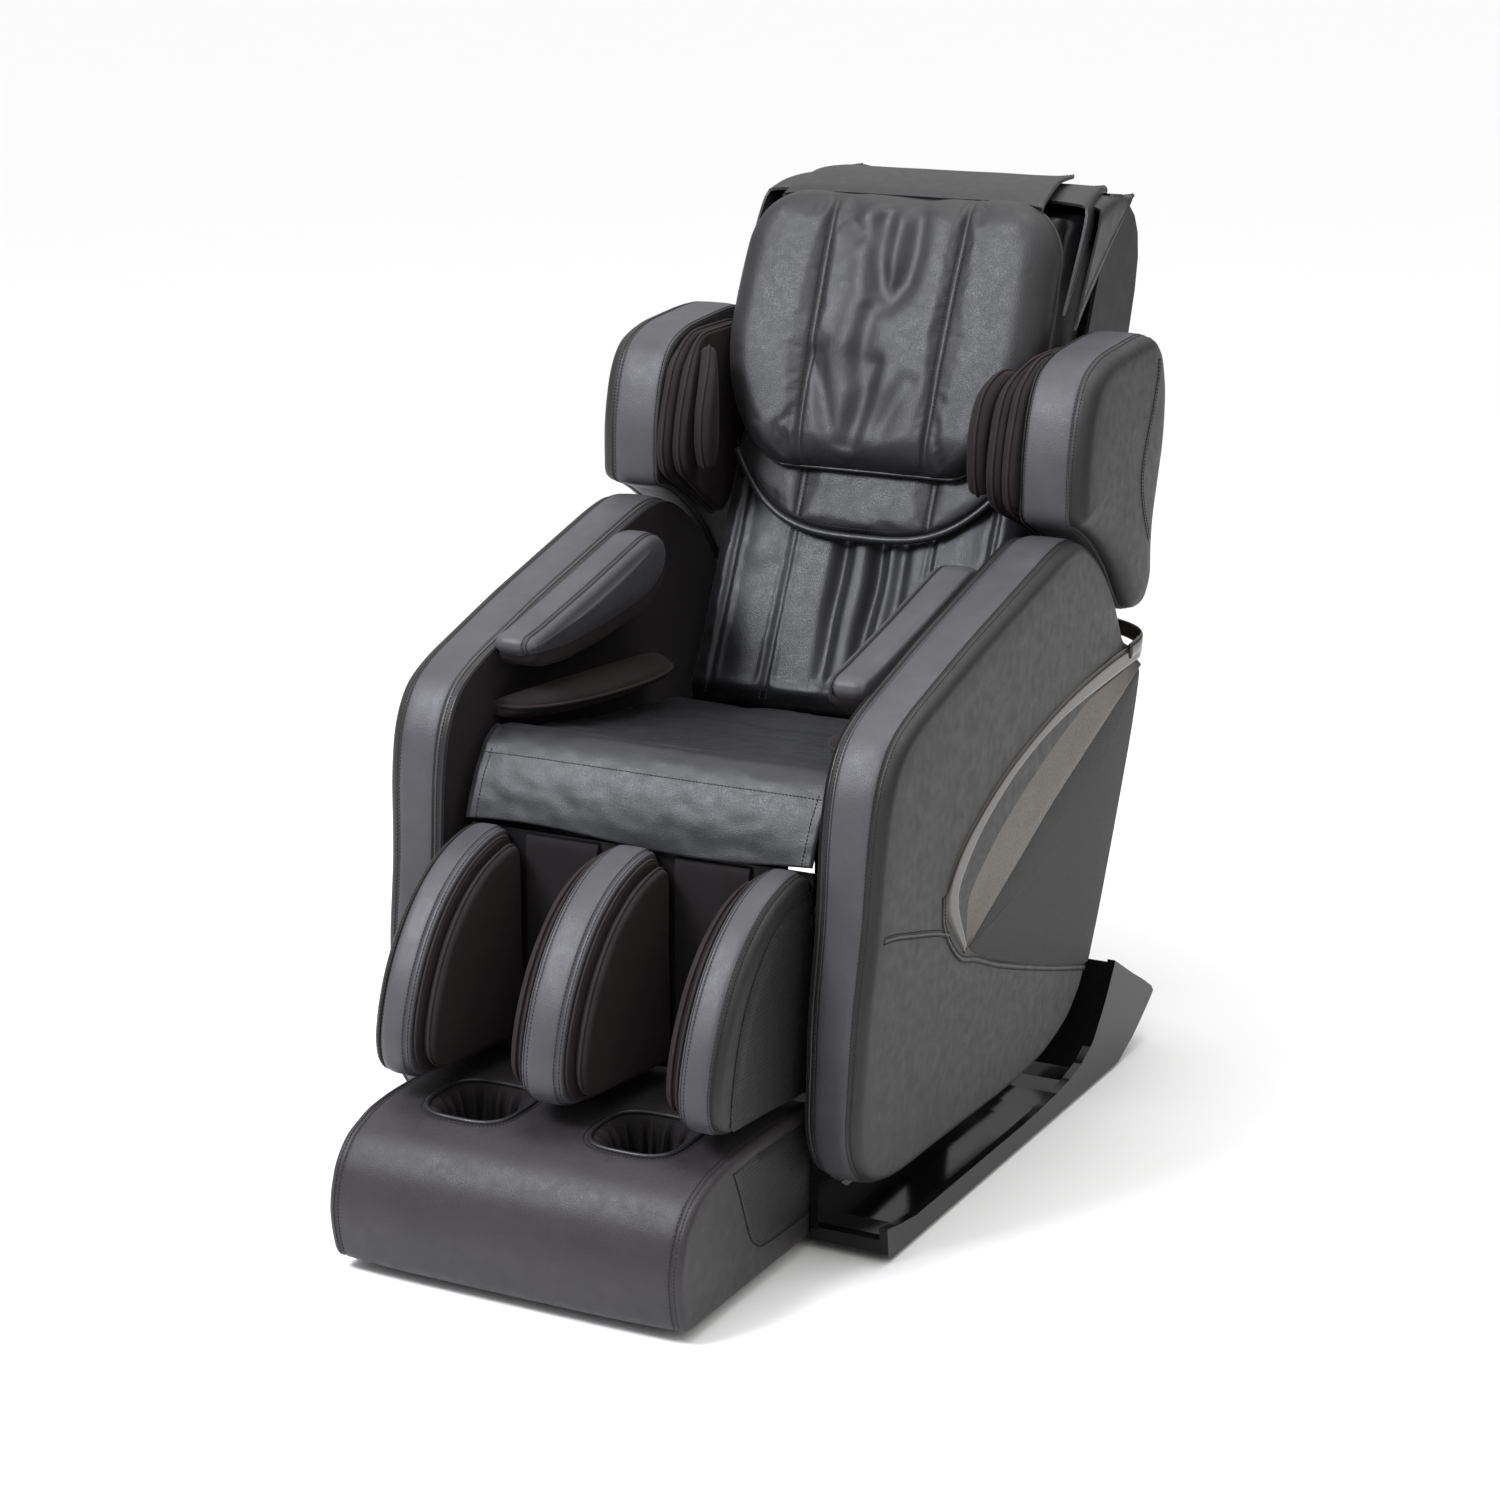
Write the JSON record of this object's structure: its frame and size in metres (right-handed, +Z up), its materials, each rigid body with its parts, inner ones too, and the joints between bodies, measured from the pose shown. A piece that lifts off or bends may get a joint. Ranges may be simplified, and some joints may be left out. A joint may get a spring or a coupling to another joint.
{
  "type": "massage chair",
  "caption": "Full-body massage chair with reclining back, head pillow, shoulder pods, hollow arms, calf channels and a foot box on a rail base.",
  "frame": {"origin": "on the floor, under the middle of the chair in its rest pose", "axes": "+Z up; the chair faces -Y; +X is the side of the sitter's left arm, so left and right in names are -X and +X"},
  "size_m": [0.772, 1.4468, 1.298],
  "materials": {
    "leather": "grained, semi-matte",
    "leather_grey": "grained, semi-matte",
    "airbag_fabric": "coated airbag cloth",
    "perforated_leather": "finely perforated",
    "gloss_black": "gloss",
    "bronze_trim": "bronze lacquer",
    "shell_plastic": "satin",
    "black_steel": "powder coat",
    "zinc_steel": "zinc plate",
    "rubber": "matte",
    "roller_plastic": "satin"
  },
  "bodies": {
    "base": {"base_rail_right": "gloss_black", "base_rail_left": "gloss_black", "rail_foot_right": "rubber", "rail_foot_left": "rubber", "base_chassis": "black_steel", "power_unit": "shell_plastic"},
    "power_switch": {"power_switch": "gloss_black"},
    "wheel_right": {"transport_wheel_right": "rubber"},
    "wheel_left": {"transport_wheel_left": "rubber"},
    "tilt_actuator_body": {"tilt_actuator_body": "shell_plastic"},
    "tilt_actuator_rod": {"tilt_actuator_rod": "zinc_steel"},
    "seat": {"seat_frame": "black_steel", "tilt_shaft": "zinc_steel", "seat_cushion": "leather", "air_pump": "shell_plastic", "control_box": "shell_plastic", "arm_casing_right": "leather", "arm_casing_left": "leather", "arm_liner_right": "airbag_fabric", "arm_liner_left": "airbag_fabric", "arm_mesh_panel_right": "perforated_leather", "arm_mesh_panel_left": "perforated_leather", "arm_trim_right": "bronze_trim", "arm_trim_left": "bronze_trim", "forearm_pad_right": "leather_grey", "forearm_pad_left": "leather_grey", "forearm_cuff_right": "airbag_fabric", "forearm_cuff_left": "airbag_fabric"},
    "seat_flap": {"seat_front_flap": "leather"},
    "back_actuator_body": {"back_actuator_body": "shell_plastic"},
    "back_actuator_rod": {"back_actuator_rod": "zinc_steel"},
    "leg_actuator_body": {"leg_actuator_body": "shell_plastic"},
    "leg_actuator_rod": {"leg_actuator_rod": "zinc_steel"},
    "backrest": {"back_shell": "shell_plastic", "back_frame": "black_steel", "back_cushion": "leather", "upper_back_pad": "leather", "head_pillow": "leather", "shoulder_pod_right": "leather", "shoulder_pod_left": "leather", "shoulder_airbag_right": "airbag_fabric", "shoulder_airbag_left": "airbag_fabric"},
    "carriage": {"massage_carriage": "black_steel"},
    "kneading_shaft": {"kneading_shaft": "zinc_steel"},
    "massage_arm_right": {"massage_arm_right": "black_steel"},
    "massage_arm_left": {"massage_arm_left": "black_steel"},
    "roller_upper_right": {"massage_roller_upper_right": "roller_plastic"},
    "roller_lower_right": {"massage_roller_lower_right": "roller_plastic"},
    "roller_upper_left": {"massage_roller_upper_left": "roller_plastic"},
    "roller_lower_left": {"massage_roller_lower_left": "roller_plastic"},
    "legrest": {"calf_frame": "shell_plastic", "calf_pad_right": "leather_grey", "calf_pad_left": "leather_grey", "calf_pad_middle": "leather_grey", "calf_airbag_inner_right": "airbag_fabric", "calf_airbag_inner_left": "airbag_fabric", "calf_airbag_outer_right": "airbag_fabric", "calf_airbag_outer_left": "airbag_fabric"},
    "foot": {"foot_box": "leather"},
    "sole_roller": {"sole_roller": "roller_plastic"}
  },
  "joints": [
    {"name": "zero_gravity_tilt", "type": "hinge", "parent": "base", "child": "seat", "pos_m": [0, 0.0447, 0.3], "axis": [-1, 0, 0], "range_deg": [0, 20]},
    {"name": "backrest_recline", "type": "hinge", "parent": "seat", "child": "backrest", "pos_m": [0, 0.2247, 0.44], "axis": [-1, 0, 0], "range_deg": [0, 45]},
    {"name": "legrest_lift", "type": "hinge", "parent": "seat", "child": "legrest", "pos_m": [0, -0.3403, 0.46], "axis": [-1, 0, 0], "range_deg": [0, 75]},
    {"name": "footrest_extend", "type": "slide", "parent": "legrest", "child": "foot", "axis": [0, -0.1045, -0.9945], "range_m": [0, 0.12]},
    {"name": "flap_lift", "type": "hinge", "parent": "seat", "child": "seat_flap", "pos_m": [0, -0.2933, 0.62], "axis": [-1, 0, 0], "range_deg": [0, 75]},
    {"name": "tilt_actuator_swing", "type": "hinge", "parent": "base", "child": "tilt_actuator_body", "pos_m": [0, -0.2153, 0.08], "axis": [-1, 0, 0], "range_deg": [0, 4]},
    {"name": "tilt_actuator_extend", "type": "slide", "parent": "tilt_actuator_body", "child": "tilt_actuator_rod", "axis": [0, 0.318, 0.9481], "range_m": [0, 0.05956]},
    {"name": "leg_actuator_swing", "type": "hinge", "parent": "seat", "child": "leg_actuator_body", "pos_m": [-0.09, -0.0133, 0.374], "axis": [-1, 0, 0], "range_deg": [-2.84, 0]},
    {"name": "leg_actuator_extend", "type": "slide", "parent": "leg_actuator_body", "child": "leg_actuator_rod", "axis": [0, -0.9955, 0.0952], "range_m": [0, 0.09984]},
    {"name": "back_actuator_swing", "type": "hinge", "parent": "seat", "child": "back_actuator_body", "pos_m": [0.09, -0.1553, 0.384], "axis": [-1, 0, 0], "range_deg": [-8.63, 0]},
    {"name": "back_actuator_extend", "type": "slide", "parent": "back_actuator_body", "child": "back_actuator_rod", "axis": [0, 0.9922, -0.1247], "range_m": [-0.0659, 0]},
    {"name": "carriage_travel", "type": "slide", "parent": "backrest", "child": "carriage", "axis": [0, 0.4226, 0.9063], "range_m": [0, 0.36]},
    {"name": "kneading_spin", "type": "hinge", "parent": "carriage", "child": "kneading_shaft", "pos_m": [0, 0.39923, 0.63446], "axis": [1, 0, 0], "continuous": true},
    {"name": "massage_arm_rock_right", "type": "hinge", "parent": "carriage", "child": "massage_arm_right", "pos_m": [0.1, 0.39923, 0.63446], "axis": [1, 0, 0], "range_deg": [-6, 6]},
    {"name": "roller_spin_upper_right", "type": "hinge", "parent": "massage_arm_right", "child": "roller_upper_right", "pos_m": [0.121, 0.39582, 0.72653], "axis": [1, 0, 0], "continuous": true},
    {"name": "roller_spin_lower_right", "type": "hinge", "parent": "massage_arm_right", "child": "roller_lower_right", "pos_m": [0.121, 0.32651, 0.57789], "axis": [1, 0, 0], "continuous": true},
    {"name": "massage_arm_rock_left", "type": "hinge", "parent": "carriage", "child": "massage_arm_left", "pos_m": [-0.1, 0.39923, 0.63446], "axis": [1, 0, 0], "range_deg": [-6, 6]},
    {"name": "roller_spin_upper_left", "type": "hinge", "parent": "massage_arm_left", "child": "roller_upper_left", "pos_m": [-0.121, 0.39582, 0.72653], "axis": [1, 0, 0], "continuous": true},
    {"name": "roller_spin_lower_left", "type": "hinge", "parent": "massage_arm_left", "child": "roller_lower_left", "pos_m": [-0.121, 0.32651, 0.57789], "axis": [1, 0, 0], "continuous": true},
    {"name": "sole_roller_spin", "type": "hinge", "parent": "foot", "child": "sole_roller", "pos_m": [0, -0.5553, 0.062], "axis": [1, 0, 0], "continuous": true},
    {"name": "wheel_spin_right", "type": "hinge", "parent": "base", "child": "wheel_right", "pos_m": [0.246, 0.4697, 0.033], "axis": [1, 0, 0], "continuous": true},
    {"name": "wheel_spin_left", "type": "hinge", "parent": "base", "child": "wheel_left", "pos_m": [-0.246, 0.4697, 0.033], "axis": [1, 0, 0], "continuous": true},
    {"name": "power_switch_rock", "type": "hinge", "parent": "base", "child": "power_switch", "pos_m": [0.0325, 0.3027, 0.07], "axis": [1, 0, 0], "range_deg": [0, 8]}
  ],
  "couplings": [
    {"joint": "footrest_extend", "follows": "legrest_lift", "m_per_rad": 0.0916},
    {"joint": "flap_lift", "follows": "legrest_lift", "ratio": 1},
    {"joint": "tilt_actuator_swing", "follows": "zero_gravity_tilt", "ratio": 0.19586},
    {"joint": "tilt_actuator_extend", "follows": "zero_gravity_tilt", "m_per_rad": 0.16729},
    {"joint": "leg_actuator_swing", "follows": "legrest_lift", "ratio": -0.03709},
    {"joint": "leg_actuator_extend", "follows": "legrest_lift", "m_per_rad": 0.07478},
    {"joint": "back_actuator_swing", "follows": "backrest_recline", "ratio": -0.18796},
    {"joint": "back_actuator_extend", "follows": "backrest_recline", "m_per_rad": -0.08226},
    {"joint": "massage_arm_rock_left", "follows": "massage_arm_rock_right", "ratio": -1}
  ]
}
